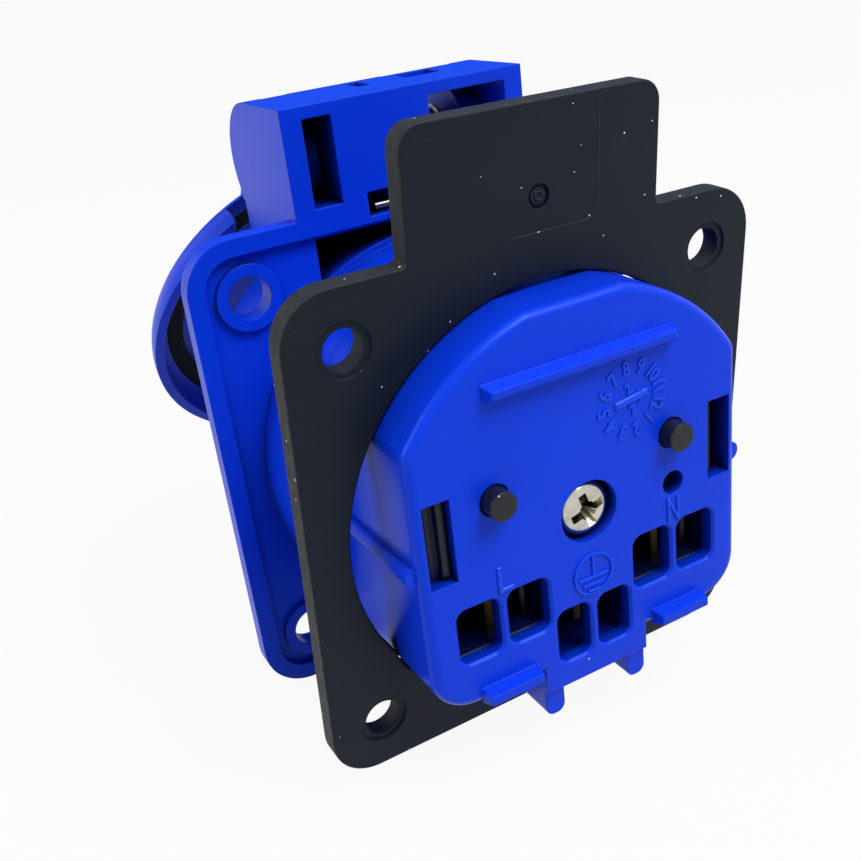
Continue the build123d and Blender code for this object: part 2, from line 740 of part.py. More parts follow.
with BuildPart() as lid:
    # Turned cup: its rim slips over the collar, its edge is well rounded, its face is crowned
    edge_z = lid_r - lid_edge_r
    with BuildSketch(lid_section(0)):
        with BuildLine():
            Polyline(
                (lid_face_y - lid_crown, 0),
                (dish_y, 0),
                (dish_y, seal_outer_r),
                (seal_y, seal_outer_r),
                (seal_y, lid_throat_r),
                (lid_rim_y, lid_r - lid_rim_w),
                (lid_rim_y, lid_r),
                (lid_face_y + lid_edge_r, lid_r),
            )
            CenterArc((lid_face_y + lid_edge_r, edge_z), lid_edge_r, 90, 90)
            Polyline(
                (lid_face_y, edge_z),
                (lid_face_y - lid_crown, lid_flat_r),
                (lid_face_y - lid_crown, 0),
            )
        make_face()
    revolve(axis=lid_axis)
    # Notch in the rim that lets the hinge block through
    with BuildSketch(lid_across(lid_rim_y)):
        with Locations((0, (lid_notch_low + block_top) / 2)):
            Rectangle(block_w + 2 * lid_notch_play, block_top - lid_notch_low)
    extrude(amount=lid_rim_y - seal_y, mode=Mode.SUBTRACT)
    # Bridge along the top edge and lip under the bottom edge, let into the front wall
    for start_y, wall_r in ((bridge_y, lid_throat_r), (dish_y - lid_gap, 0)):
        with BuildSketch(lid_across(start_y)):
            with Locations((0, bridge_top / 2)):
                Rectangle(2 * (slot_outer_x - knuckle_side_play), bridge_top)
            with Locations((0, -(lid_r + lip_reach) / 2)):
                Rectangle(lip_w, lid_r + lip_reach)
            if wall_r:
                Circle(wall_r, mode=Mode.SUBTRACT)
        extrude(amount=start_y - lid_face_y - bridge_front_drop)
    # Two arms round the pin
    for arm_x in (slot_inner_x + knuckle_side_play, -slot_outer_x + knuckle_side_play):
        with BuildSketch(lid_section(arm_x)):
            with Locations((pivot_y, pivot_z)):
                Circle(knuckle_r)
            with BuildLine():
                Polyline(
                    (pivot_y - arm_side, pivot_z + arm_side),
                    (pivot_y - arm_side - arm_run, pivot_z + arm_side - arm_run),
                    (pivot_y + arm_side - arm_run, pivot_z - arm_side - arm_run),
                    (pivot_y + arm_side, pivot_z - arm_side),
                    close=True,
                )
            make_face()
            with Locations((pivot_y, pivot_z)):
                Circle(pin_r + knuckle_fit, mode=Mode.SUBTRACT)
        extrude(amount=slot_outer_x - slot_inner_x - 2 * knuckle_side_play)
lid.part.label = "lid"
export_step(lid.part, "parts/lid.step")

with BuildPart() as lid_seal:
    with BuildSketch(lid_across(seal_y)):
        Circle(seal_outer_r)
        Circle(seal_outer_r - seal_w, mode=Mode.SUBTRACT)
    extrude(amount=seal_t)
lid_seal.part.label = "lid_seal"
export_step(lid_seal.part, "parts/lid_seal.step")

with BuildPart() as hinge_pin:
    with BuildSketch(Plane.YZ.offset(-block_w / 2 + pin_end_drop)):
        with Locations((pivot_y, pivot_z)):
            Circle(pin_r)
    extrude(amount=block_w - pin_blind_wall - pin_end_drop - pin_fit)
hinge_pin.part.label = "hinge_pin"
export_step(hinge_pin.part, "parts/hinge_pin.step")

# Coil round the pin; one leg lies in the housing's window, the other follows the lid
coil_path = []
for step in range(coil_turns * coil_steps + 1):
    turned = step / coil_steps
    coil_path.append(
        (
            -coil_start_x - coil_pitch * turned,
            pivot_y - coil_r * sin(radians(360 * turned)),
            pivot_z - coil_r * cos(radians(360 * turned)),
        )
    )

with BuildPart() as lid_spring:
    with BuildLine() as wire:
        Polyline(
            (fixed_leg_end, fixed_leg_y, fixed_leg_z),
            (-coil_start_x, fixed_leg_y, fixed_leg_z),
            (-coil_start_x, fixed_leg_drop_y, pivot_z - coil_r),
            *coil_path,
            (coil_path[-1][0], pivot_y - lid_leg_length, pivot_z - coil_r),
        )
    with BuildSketch(Plane(origin=wire.line @ 0, z_dir=wire.line % 0)):
        RegularPolygon(wire_r, 6)
    sweep(transition=Transition.RIGHT)
lid_spring.part.label = "lid_spring"
export_step(lid_spring.part, "parts/lid_spring.step")

# The gasket hangs askew on the body, so its shapes are drawn on a tilted plane
gasket_place = (
    Pos(gasket_shift_x, gasket_back, gasket_shift_z)
    * Rot(0, 0, gasket_turn)
    * Rot(0, gasket_roll, 0)
    * Rot(gasket_lean, 0, 0)
)
gasket_face = Plane(gasket_place * Plane.XZ.location)

with BuildPart() as flange_gasket:
    with BuildSketch(gasket_face) as sheet:
        RectangleRounded(gasket_side, gasket_side, gasket_corner_r)
        with Locations((0, tab_top / 2)):
            Rectangle(tab_w, tab_top)
        fillet(sheet.vertices().group_by(Axis.Y)[-1], tab_corner_r)
        roots = sheet.vertices().filter_by(
            lambda v: abs(abs(v.X) - tab_w / 2) < 0.01 and abs(v.Y - gasket_side / 2) < 0.01
        )
        fillet(roots, tab_root_r)
        with Locations((gasket_bore_x, gasket_bore_z)):
            Circle(gasket_bore_r, mode=Mode.SUBTRACT)
        with GridLocations(fixing_pitch, fixing_pitch, 2, 2):
            Circle(gasket_hole_r, mode=Mode.SUBTRACT)
    extrude(amount=gasket_t)
    # Bore eased where the terminal cover's lower corners pass through it
    with BuildSketch(at_y(gasket_back + gasket_side / 2)):
        for side in (1, -1):
            with Locations((side * (cover_side_x - cover_corner_r), cover_corner_r - cover_bottom)):
                Circle(cover_corner_r + gasket_relief)
    extrude(amount=gasket_side, mode=Mode.SUBTRACT)
    # Shallow ring round each hole and the moulding gate's mark
    with BuildSketch(gasket_face):
        with GridLocations(fixing_pitch, fixing_pitch, 2, 2):
            Circle(gasket_ring_r)
    extrude(amount=gasket_ring_depth, mode=Mode.SUBTRACT)
    with BuildSketch(gasket_face):
        with Locations((0, gate_z)):
            Circle(gate_r)
            Circle(gate_nub_r, mode=Mode.SUBTRACT)
    extrude(amount=gate_depth, mode=Mode.SUBTRACT)
flange_gasket.part.label = "flange_gasket"
export_step(flange_gasket.part, "parts/flange_gasket.step")
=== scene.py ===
"""Looks for the blue panel socket: materials, raised marks, screw, spring, light and camera."""
import math

import bmesh
import bpy
from mathutils import Matrix, Vector


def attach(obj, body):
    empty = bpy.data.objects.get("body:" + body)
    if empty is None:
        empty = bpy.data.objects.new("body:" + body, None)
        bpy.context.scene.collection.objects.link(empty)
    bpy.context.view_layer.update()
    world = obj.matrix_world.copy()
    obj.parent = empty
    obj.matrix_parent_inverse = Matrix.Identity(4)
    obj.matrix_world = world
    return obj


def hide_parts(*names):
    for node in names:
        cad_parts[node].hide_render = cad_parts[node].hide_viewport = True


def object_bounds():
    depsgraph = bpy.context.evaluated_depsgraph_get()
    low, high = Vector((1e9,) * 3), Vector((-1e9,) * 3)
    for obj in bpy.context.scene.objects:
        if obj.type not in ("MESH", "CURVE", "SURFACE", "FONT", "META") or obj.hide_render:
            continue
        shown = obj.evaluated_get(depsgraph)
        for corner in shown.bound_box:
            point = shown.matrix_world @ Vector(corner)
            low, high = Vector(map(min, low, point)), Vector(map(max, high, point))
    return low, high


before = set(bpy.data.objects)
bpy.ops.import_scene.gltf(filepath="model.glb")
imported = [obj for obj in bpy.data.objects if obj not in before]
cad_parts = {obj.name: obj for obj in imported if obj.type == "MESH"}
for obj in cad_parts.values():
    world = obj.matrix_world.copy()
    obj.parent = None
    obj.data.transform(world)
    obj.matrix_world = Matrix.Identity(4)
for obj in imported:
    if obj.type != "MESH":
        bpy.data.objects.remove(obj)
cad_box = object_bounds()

# Blue mouldings: housing, terminal cover and lid are injection-moulded in one glossy blue
# plastic. The skin has a faint flow mottle and a fine grain, with stray dust on it, and the
# mould's small radii let its edges catch the light.
mm = 0.001
moulded_blue = (0.002, 0.043, 0.74, 1)
flow_blue = (0.0015, 0.035, 0.68, 1)
rubbed_blue = (0.004, 0.075, 0.8, 1)
# painted_shade_blue is the painted shade that blue plastic darkens to in recesses
painted_shade_blue = (0.0005, 0.0035, 0.06, 1)
blue_sheen = (0.45, 0.78, 1.0, 1)
dust_white = (0.62, 0.68, 0.8, 1)
mould_edge_r = 0.18 * mm
recess_reach = 9.0 * mm
grain_depth = 0.1 * mm
probe_samples = 6


def new_group(name, inputs, outputs):
    """A shader group with its sockets, as the group and its two end nodes.

    Inputs are labels with default values, outputs are labels with a kind of socket.
    """
    group = bpy.data.node_groups.new(name, "ShaderNodeTree")
    for label, value in inputs.items():
        kind = "Float" if isinstance(value, float) else {3: "Vector", 4: "Color"}[len(value)]
        socket = group.interface.new_socket(
            label, in_out="INPUT", socket_type="NodeSocket" + kind
        )
        socket.default_value = value
    for label, kind in outputs.items():
        group.interface.new_socket(label, in_out="OUTPUT", socket_type="NodeSocket" + kind)
    return group, group.nodes.new("NodeGroupInput"), group.nodes.new("NodeGroupOutput")


def place(tree, kind, values=None, **settings):
    """A new node with its properties and its unlinked inputs set."""
    node = tree.nodes.new(kind)
    for key, value in settings.items():
        setattr(node, key, value)
    for key, value in (values or {}).items():
        node.inputs[key].default_value = value
    return node


def link_up(tree, *links):
    """Links nodes, each link given as a source, its output, a target and its input."""
    for source, output, target, into in links:
        tree.links.new(source.outputs[output], target.inputs[into])


# Moulded skin: mottle between two colours, a gloss that follows it, and a grain height
skin, skin_in, skin_out = new_group(
    "moulded_skin",
    {
        "Colour": moulded_blue,
        "Second colour": flow_blue,
        "Mottle scale": 90.0,
        "Grain scale": 2600.0,
        "Gloss low": 0.3,
        "Gloss high": 0.4,
    },
    {"Colour": "Color", "Roughness": "Float", "Height": "Float"},
)
skin_place = place(skin, "ShaderNodeTexCoord")
mottle = place(skin, "ShaderNodeTexNoise", {"Detail": 3.0})
grain = place(skin, "ShaderNodeTexNoise", {"Detail": 2.0})
skin_mix = place(skin, "ShaderNodeMix", data_type="RGBA")
gloss = place(skin, "ShaderNodeMapRange")
link_up(
    skin,
    (skin_place, "Object", mottle, "Vector"),
    (skin_place, "Object", grain, "Vector"),
    (skin_in, "Mottle scale", mottle, "Scale"),
    (skin_in, "Grain scale", grain, "Scale"),
    (mottle, "Fac", skin_mix, "Factor"),
    (skin_in, "Colour", skin_mix, "A"),
    (skin_in, "Second colour", skin_mix, "B"),
    (mottle, "Fac", gloss, "Value"),
    (skin_in, "Gloss low", gloss, "To Min"),
    (skin_in, "Gloss high", gloss, "To Max"),
    (skin_mix, "Result", skin_out, "Colour"),
    (gloss, "Result", skin_out, "Roughness"),
    (grain, "Fac", skin_out, "Height"),
)

# Dust: small pale specks, one in some of the cells
dust, dust_in, dust_out = new_group(
    "dust_specks",
    {
        "Colour": moulded_blue,
        "Dust": dust_white,
        "Cells": 400.0,
        "Share": 0.04,
        "Speck": 0.12,
    },
    {"Colour": "Color", "Mask": "Float"},
)
dust_place = place(dust, "ShaderNodeTexCoord")
cells = place(dust, "ShaderNodeTexVoronoi")
near = place(dust, "ShaderNodeMath", operation="LESS_THAN")
cell_colour = place(dust, "ShaderNodeSeparateColor")
rare = place(dust, "ShaderNodeMath", operation="LESS_THAN")
speck = place(dust, "ShaderNodeMath", operation="MULTIPLY")
dust_mix = place(dust, "ShaderNodeMix", data_type="RGBA")
link_up(
    dust,
    (dust_place, "Object", cells, "Vector"),
    (dust_in, "Cells", cells, "Scale"),
    (cells, "Distance", near, 0),
    (dust_in, "Speck", near, 1),
    (cells, "Color", cell_colour, "Color"),
    (cell_colour, "Red", rare, 0),
    (dust_in, "Share", rare, 1),
    (near, "Value", speck, 0),
    (rare, "Value", speck, 1),
    (speck, "Value", dust_mix, "Factor"),
    (dust_in, "Colour", dust_mix, "A"),
    (dust_in, "Dust", dust_mix, "B"),
    (dust_mix, "Result", dust_out, "Colour"),
    (speck, "Value", dust_out, "Mask"),
)

# Scratches: noise drawn out into hairlines, kept only at its peaks and in worn patches
hairline, hair_in, hair_out = new_group(
    "hairline_scratches",
    {
        "Colour": moulded_blue,
        "Scratch": dust_white,
        "Turn": (0.0, 0.0, 0.0),
        "Stretch": (120.0, 120.0, 9000.0),
        "From": 0.7,
        "To": 0.78,
        "Strength": 0.4,
    },
    {"Colour": "Color", "Mask": "Float"},
)
hair_place = place(hairline, "ShaderNodeTexCoord")
hair_turn = place(hairline, "ShaderNodeMapping")
streak = place(hairline, "ShaderNodeTexNoise", {"Scale": 1.0, "Detail": 0.0})
peak = place(hairline, "ShaderNodeMapRange")
patch = place(hairline, "ShaderNodeTexNoise", {"Scale": 130.0})
patch_edge = place(hairline, "ShaderNodeMapRange", {"From Min": 0.52, "From Max": 0.62})
worn = place(hairline, "ShaderNodeMath", operation="MULTIPLY")
faint = place(hairline, "ShaderNodeMath", operation="MULTIPLY")
hair_mix = place(hairline, "ShaderNodeMix", data_type="RGBA")
link_up(
    hairline,
    (hair_place, "Object", hair_turn, "Vector"),
    (hair_in, "Turn", hair_turn, "Rotation"),
    (hair_in, "Stretch", hair_turn, "Scale"),
    (hair_turn, "Vector", streak, "Vector"),
    (streak, "Fac", peak, "Value"),
    (hair_in, "From", peak, "From Min"),
    (hair_in, "To", peak, "From Max"),
    (hair_place, "Object", patch, "Vector"),
    (patch, "Fac", patch_edge, "Value"),
    (peak, "Result", worn, 0),
    (patch_edge, "Result", worn, 1),
    (worn, "Value", faint, 0),
    (hair_in, "Strength", faint, 1),
    (faint, "Value", hair_mix, "Factor"),
    (hair_in, "Colour", hair_mix, "A"),
    (hair_in, "Scratch", hair_mix, "B"),
    (hair_mix, "Result", hair_out, "Colour"),
    (faint, "Value", hair_out, "Mask"),
)

# Eased edge: turns the surface a little at a moulding's edges, as the mould's small radii do
eased, eased_in, eased_out = new_group(
    "eased_edge", {"Radius": mould_edge_r}, {"Normal": "Vector"}
)
rounding = place(eased, "ShaderNodeBevel", samples=probe_samples)
link_up(eased, (eased_in, "Radius", rounding, "Radius"), (rounding, "Normal", eased_out, "Normal"))

# Recess shade: painted shade, darkening the colour deep in slots and entries where an occlusion
# probe finds little open space
recess, recess_in, recess_out = new_group(
    "recess_shade",
    {
        "Colour": moulded_blue,
        "Shade": painted_shade_blue,
        "Reach": recess_reach,
        "From": 0.2,
        "To": 0.52,
    },
    {"Colour": "Color"},
)
open_sky = place(recess, "ShaderNodeAmbientOcclusion", samples=probe_samples)
openness = place(recess, "ShaderNodeMapRange")
recess_mix = place(recess, "ShaderNodeMix", data_type="RGBA")
link_up(
    recess,
    (recess_in, "Reach", open_sky, "Distance"),
    (open_sky, "AO", openness, "Value"),
    (recess_in, "From", openness, "From Min"),
    (recess_in, "To", openness, "From Max"),
    (openness, "Result", recess_mix, "Factor"),
    (recess_in, "Shade", recess_mix, "A"),
    (recess_in, "Colour", recess_mix, "B"),
    (recess_mix, "Result", recess_out, "Colour"),
)


def use(tree, group, **values):
    """Places a group in a material with its own values."""
    node = tree.nodes.new("ShaderNodeGroup")
    node.node_tree = group
    for key, value in values.items():
        node.inputs[key.replace("_", " ")].default_value = value
    return node


def new_material(name, values):
    """A material with its tree and its one Principled shader, whose plain values are set."""
    material = bpy.data.materials.new(name)
    material.use_nodes = True
    shader = material.node_tree.nodes["Principled BSDF"]
    for key, value in values.items():
        shader.inputs[key].default_value = value
    return material, material.node_tree, shader


def surface_of(
    name,
    skin_values,
    dust_values,
    scratch_values,
    relief,
    shine,
    sheen,
    edge_r=mould_edge_r,
    shade=painted_shade_blue,
):
    """Moulded or rubber material: skin, then scratches, dust and painted shade, over one shader.
    """
    material, tree, shader = new_material(
        name, {"Specular IOR Level": shine, "Specular Tint": sheen}
    )
    moulded = use(tree, skin, **skin_values)
    scratched = use(tree, hairline, **scratch_values)
    dusty = use(tree, dust, **dust_values)
    corner = use(tree, eased, Radius=edge_r)
    shaded = use(tree, recess, Shade=shade)
    bump = place(tree, "ShaderNodeBump", {"Strength": relief, "Distance": grain_depth})
    link_up(
        tree,
        (moulded, "Colour", scratched, "Colour"),
        (scratched, "Colour", dusty, "Colour"),
        (dusty, "Colour", shaded, "Colour"),
        (shaded, "Colour", shader, "Base Color"),
        (moulded, "Roughness", shader, "Roughness"),
        (moulded, "Height", bump, "Height"),
        (corner, "Normal", bump, "Normal"),
        (bump, "Normal", shader, "Normal"),
    )
    return material


def dress(node, material):
    """Gives a CAD node its material."""
    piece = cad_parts[node]
    piece.data.materials.clear()
    piece.data.materials.append(material)


blue_dust = dict(Cells=1000.0, Share=0.008, Speck=0.1)
blue_scratches = dict(Turn=(0.6, 0.9, 0.3), Scratch=rubbed_blue, Strength=0.25)
blue_plastic = surface_of(
    "glossy_blue_plastic",
    dict(Colour=moulded_blue, Second_colour=flow_blue, Gloss_low=0.3, Gloss_high=0.4),
    blue_dust,
    blue_scratches,
    relief=0.05,
    shine=0.24,
    sheen=blue_sheen,
)
for moulding in ("socket_housing", "terminal_cover", "lid"):
    dress(moulding, blue_plastic)

# Raised marks on the cover's rear face: L and N beside the pole entries and the earth symbol
# between them. They are cut into the mould, so they stand a little proud of the blue plastic,
# with sloping sides. A letter's strokes differ in height, so none lies in another's top.
cover_face_y = 26.05 * mm
mark_height, mark_sunk = 0.2 * mm, 0.08 * mm
shoulder_share = 0.35
top_share = 1 / 3.4
stroke_step = 0.93
letter_size = 2.25 * mm
live_mark = (-9.42 * mm, -3.18 * mm)
live_strokes = [((-0.22, 0.5), (-0.22, -0.5)), ((-0.22, -0.5), (0.3, -0.5))]
live_stroke_w = 0.46 * mm
neutral_mark = (9.6 * mm, -3.34 * mm)
neutral_strokes = [
    ((-0.25, -0.5), (-0.25, 0.5)),
    ((-0.25, 0.5), (0.25, -0.5)),
    ((0.25, -0.5), (0.25, 0.5)),
]
neutral_stroke_w = 0.368 * mm
earth_mark = (0.0, -6.55 * mm)
earth_ring_r = 2.1 * mm
earth_stem_top = earth_ring_r * 0.97
earth_stroke_w = 0.26 * mm
earth_bars_low, earth_bar_step = 0.35 * mm, 0.72 * mm
earth_half_bars = (1.5 * mm, 1.05 * mm, 0.55 * mm)
raised_blue = surface_of(
    "raised_mark_blue",
    dict(Colour=rubbed_blue, Second_colour=moulded_blue, Gloss_low=0.3, Gloss_high=0.4),
    blue_dust,
    blue_scratches,
    relief=0.05,
    shine=0.3,
    sheen=blue_sheen,
    edge_r=0.06 * mm,
    # Their painted recess shade goes only as dark as flow_blue
    shade=flow_blue,
)


def on_cover(across, up, out):
    """A point on the cover's rear face as seen from behind, in metres."""
    return (-across, cover_face_y + out, up)


def band(solid, low, high):
    """Closes the strip between two rings of corners; a corner that they share counts once."""
    for k in range(len(low)):
        after = (k + 1) % len(low)
        corners = dict.fromkeys((low[k], low[after], high[after], high[k]))
        solid.faces.new(tuple(corners))


def raised_bar(solid, start, end, width, height):
    """Adds one straight raised stroke with sloping sides."""
    a, b = Vector(start), Vector(end)
    along = (b - a).normalized()
    side = Vector((-along.y, along.x))
    rings = []
    for half, out in (
        (width / 2, -mark_sunk),
        (width / 2, height * shoulder_share),
        (width * top_share, height),
    ):
        rings.append(
            [
                solid.verts.new(on_cover(*(p + along * s * half + side * t * half), out))
                for p, s, t in ((a, -1, -1), (b, 1, -1), (b, 1, 1), (a, -1, 1))
            ]
        )
    for low, high in zip(rings, rings[1:]):
        band(solid, low, high)
    solid.faces.new(rings[-1])


def circle_line(x, z, radius, steps=72, start=0.0):
    """Points round a circle, as pairs."""
    turns = [start + 2 * math.pi * k / steps for k in range(steps)]
    return [(x + radius * math.cos(turn), z + radius * math.sin(turn)) for turn in turns]


def raised_ring(solid, centre, radius, width, height):
    """Adds one raised circle with sloping sides."""
    rings = []
    for off, out in (
        (-width / 2, -mark_sunk),
        (-width * top_share, height),
        (width * top_share, height),
        (width / 2, -mark_sunk),
    ):
        line = circle_line(*centre, radius + off)
        rings.append([solid.verts.new(on_cover(*point, out)) for point in line])
    for low, high in zip(rings, rings[1:]):
        band(solid, low, high)


def raised_letter(solid, centre, strokes, width):
    """Adds a letter's strokes, given about its centre in fractions of its size."""
    height = mark_height
    middle = Vector(centre)
    for start, end in strokes:
        start_at = middle + Vector(start) * letter_size
        end_at = middle + Vector(end) * letter_size
        raised_bar(solid, start_at, end_at, width, height)
        height *= stroke_step


def add_object(name, data):
    """Puts a mesh, curve, lamp or camera into the scene."""
    made = bpy.data.objects.new(name, data)
    bpy.context.scene.collection.objects.link(made)
    return made


def piece_from(name, solid, material, body):
    """Turns a bmesh into a finished piece that rides on a body."""
    bmesh.ops.recalc_face_normals(solid, faces=solid.faces)
    mesh = bpy.data.meshes.new(name)
    solid.to_mesh(mesh)
    solid.free()
    mesh.materials.append(material)
    piece = add_object(name, mesh)
    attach(piece, body)
    return piece


pole_marks = bmesh.new()
raised_letter(pole_marks, live_mark, live_strokes, live_stroke_w)
raised_letter(pole_marks, neutral_mark, neutral_strokes, neutral_stroke_w)
piece_from("pole_marks", pole_marks, raised_blue, "housing")

earth_sign = bmesh.new()
raised_ring(earth_sign, earth_mark, earth_ring_r, earth_stroke_w, mark_height)
bars_top = earth_mark[1] - earth_bars_low
for row, half in enumerate(earth_half_bars):
    level = bars_top - row * earth_bar_step
    raised_bar(earth_sign, (-half, level), (half, level), earth_stroke_w, mark_height)
stem_top = earth_mark[1] + earth_stem_top
raised_bar(
    earth_sign, (0, bars_top), (0, stem_top), earth_stroke_w, mark_height * stroke_step
)
piece_from("earth_mark", earth_sign, raised_blue, "housing")

# Date dial: the print of a small insert in the mould, in the same blue plastic, with the
# months round an arrow. The numbers run clockwise with their tops outwards, and the insert
# was set at a slant. The year's two digits stand either side of the arrow.
dial_centre = (5.15 * mm, 9.45 * mm)
dial_r = 3.0 * mm
dial_height = 0.13 * mm
dial_turn, dial_step = -248.5, 30.0
digit_size, digit_bold = 1.9 * mm, 0.07 * mm
digit_narrow, digit_spacing, digit_round = 0.82, 0.86, 3
year_places = ((-0.35 * mm, 1.05 * mm), (0.1 * mm, -1.05 * mm))
year_digit, year_turn, year_size = 2, -20, 1.425 * mm
arrow_turn = math.radians(8.0)
arrow_reach, arrow_w, arrow_height = 1.45 * mm, 0.8 * mm, 0.208 * mm
wing_back, wing_out, wing_w = 0.75 * mm, 0.6 * mm, 0.2 * mm


def raised_number(solid, number, across, up, turn, size):
    """Adds a number of the dial, standing at a place and turned clockwise by degrees."""
    print_curve = bpy.data.curves.new("number", "FONT")
    print_curve.body = str(number)
    print_curve.size = size
    print_curve.align_x = "CENTER"
    print_curve.align_y = "CENTER"
    print_curve.extrude = dial_height
    print_curve.offset = digit_bold
    print_curve.resolution_u = digit_round
    print_curve.space_character = digit_spacing
    holder = bpy.data.objects.new("number", print_curve)
    stamped = bpy.data.meshes.new_from_object(holder)
    facing = Matrix(((-1, 0, 0, 0), (0, 0, 1, 0), (0, 1, 0, 0), (0, 0, 0, 1)))
    stamped.transform(
        Matrix.Translation(on_cover(across, up, 0))
        @ facing
        @ Matrix.Rotation(-math.radians(turn), 4, "Z")
        @ Matrix.Diagonal((digit_narrow, 1, 1, 1))
    )
    solid.from_mesh(stamped)
    bpy.data.objects.remove(holder)


date_dial = bmesh.new()
for month in range(1, 13):
    clock = month * dial_step + dial_turn
    lean = math.radians(clock)
    across = dial_centre[0] + dial_r * math.sin(lean)
    up = dial_centre[1] + dial_r * math.cos(lean)
    raised_number(date_dial, month, across, up, clock, digit_size)
for aside, above in year_places:
    across, up = dial_centre[0] + aside, dial_centre[1] + above
    raised_number(date_dial, year_digit, across, up, year_turn, year_size)
middle = Vector(dial_centre)
pointing = Vector((math.cos(arrow_turn), math.sin(arrow_turn)))
sideways = Vector((-pointing.y, pointing.x))
tip = middle + pointing * arrow_reach
raised_bar(date_dial, middle - pointing * arrow_reach, tip, arrow_w, arrow_height)
for wing in (1, -1):
    wing_end = tip - pointing * wing_back + sideways * wing * wing_out
    raised_bar(date_dial, tip, wing_end, wing_w, dial_height)
piece_from("date_dial", date_dial, raised_blue, "housing")

# Contact carrier: matt black moulding that the cover closes in. Its sides show in the cover's
# windows, and its two pegs come out through the rear face, with eased edges.
carrier_black = surface_of(
    "matt_black_plastic",
    dict(
        Colour=(0.006, 0.0065, 0.008, 1),
        Second_colour=(0.01, 0.011, 0.013, 1),
        Gloss_low=0.32,
        Gloss_high=0.45,
    ),
    dict(Cells=1300.0, Share=0.03, Speck=0.12),
    dict(Turn=(0.2, 0.4, 0.3), Scratch=(0.1, 0.1, 0.1, 1), Strength=0.1),
    relief=0.12,
    shine=0.35,
    sheen=(0.8, 0.9, 1.0, 1),
    edge_r=0.35 * mm,
)
dress("contact_carrier", carrier_black)

# Gasket: flat ring of black rubber sheet, dull, with talc specks, hairline scratches and grey
# rubbed edges. It is moulded in one with its tab, and hangs loose and askew on the body. Its
# bore is closer than the CAD sheet's, so no light shows round the cover.
rubber_grain = 1500.0
rubber_turn, rubber_scratch = (0.1, 0.5, 0.2), (0.12, 0.13, 0.14, 1)
rubbed_dust = dict(Cells=1300.0, Share=0.12, Speck=0.16)
rubbed_scratches = dict(Turn=rubber_turn, Scratch=rubber_scratch, Strength=0.1)
rubber = surface_of(
    "black_gasket_rubber",
    dict(
        Colour=(0.0075, 0.0105, 0.0175, 1),
        Second_colour=(0.011, 0.0135, 0.0195, 1),
        Gloss_low=0.36,
        Gloss_high=0.5,
        Grain_scale=rubber_grain,
    ),
    dict(Cells=1300.0, Share=0.045, Speck=0.11),
    dict(Turn=rubber_turn, Scratch=rubber_scratch, Strength=0.07),
    relief=0.16,
    shine=0.14,
    sheen=(0.75, 0.88, 1.0, 1),
)
rubber_edge = surface_of(
    "rubbed_rubber_edge",
    dict(
        Colour=(0.028, 0.028, 0.029, 1),
        Second_colour=(0.004, 0.0055, 0.008, 1),
        Gloss_low=0.5,
        Gloss_high=0.65,
        Mottle_scale=900.0,
        Grain_scale=rubber_grain,
    ),
    rubbed_dust,
    rubbed_scratches,
    relief=0.3,
    shine=0.2,
    sheen=(0.8, 0.9, 1.0, 1),
)
sheet_side, sheet_corner_r = 48.8 * mm, 4.6 * mm
sheet_t, sheet_edge_r, sheet_edge_round = 2.2 * mm, 0.16 * mm, 2
sheet_tab_w, sheet_tab_top, sheet_tab_r = 25.7 * mm, 35.35 * mm, 2.0 * mm
sheet_root_r = 0.5 * mm
bore_r, bore_x, bore_z = 20.95 * mm, -0.51 * mm, -0.44 * mm
relief_x, relief_z, relief_r = 13.3 * mm, -11.0 * mm, 4.38 * mm
sheet_hole_pitch, sheet_hole_r = 38.0 * mm, 1.85 * mm
hole_ring_r, hole_ring_depth, hole_ring_sides = 2.45 * mm, 0.22 * mm, 72
gate_up, gate_clear = 27.6 * mm, 2.0 * mm
gate_groove_r, gate_plate_r, gate_nub_r, gate_crater_r = 1.05 * mm, 0.82 * mm, 0.46 * mm, 0.3 * mm
gate_deep, gate_plate_deep, gate_nub_deep = 0.34 * mm, 0.12 * mm, 0.02 * mm
gate_plate_slope, gate_nub_slope, gate_crater_slope = 0.04 * mm, 0.05 * mm, 0.08 * mm
gate_sides = 48
cutter_rise = -0.4 * mm
weld_gap = 0.001 * mm
edge_slope = 0.9
gasket_sharp = 12
hang_at = (0.5 * mm, 19.6 * mm, 0.3 * mm)
hang_turn, hang_roll, hang_lean = 1.7, -1.2, -3.7

# Places a flat drawing, with z towards the flange, where the gasket hangs
gasket_hang = (
    Matrix.Translation(hang_at)
    @ Matrix.Rotation(math.radians(hang_turn), 4, "Z")
    @ Matrix.Rotation(math.radians(hang_roll), 4, "Y")
    @ Matrix.Rotation(math.radians(hang_lean + 90), 4, "X")
)


def softened(corners, steps=12):
    """Points of a square-cornered outline whose corners are rounded."""
    line = []
    for i, (x, z, radius) in enumerate(corners):
        here = Vector((x, z))
        back = (Vector(corners[i - 1][:2]) - here).normalized() * radius
        ahead = (Vector(corners[(i + 1) % len(corners)][:2]) - here).normalized() * radius
        for step in range(steps + 1):
            turn = math.radians(90 * step / steps)
            line.append(here + back + ahead - ahead * math.cos(turn) - back * math.sin(turn))
    return line


def bore_line(steps=360):
    """Points round the bore, which reaches out round the cover's two lower corners."""
    line = []
    bore_centre = Vector((bore_x, bore_z))
    cover_corners = []
    for side in (1, -1):
        corner = Vector((side * relief_x, hang_at[1] - sheet_t / 2, relief_z))
        cover_corners.append((gasket_hang.inverted() @ corner).xy - bore_centre)
    for way in circle_line(0, 0, 1, steps):
        way = Vector(way)
        reach = bore_r
        for corner in cover_corners:
            along = corner.dot(way)
            off = corner.length_squared - along * along
            if along > 0 and off < relief_r**2:
                reach = max(reach, along + math.sqrt(relief_r**2 - off))
        line.append(bore_centre + way * reach)
    return line


def run_through(curve, points, closed=False):
    """Adds a run through points to a curve."""
    run = curve.splines.new("POLY")
    run.points.add(len(points) - 1)
    for point, where in zip(run.points, points):
        point.co = (*where, 1)
    run.use_cyclic_u = closed


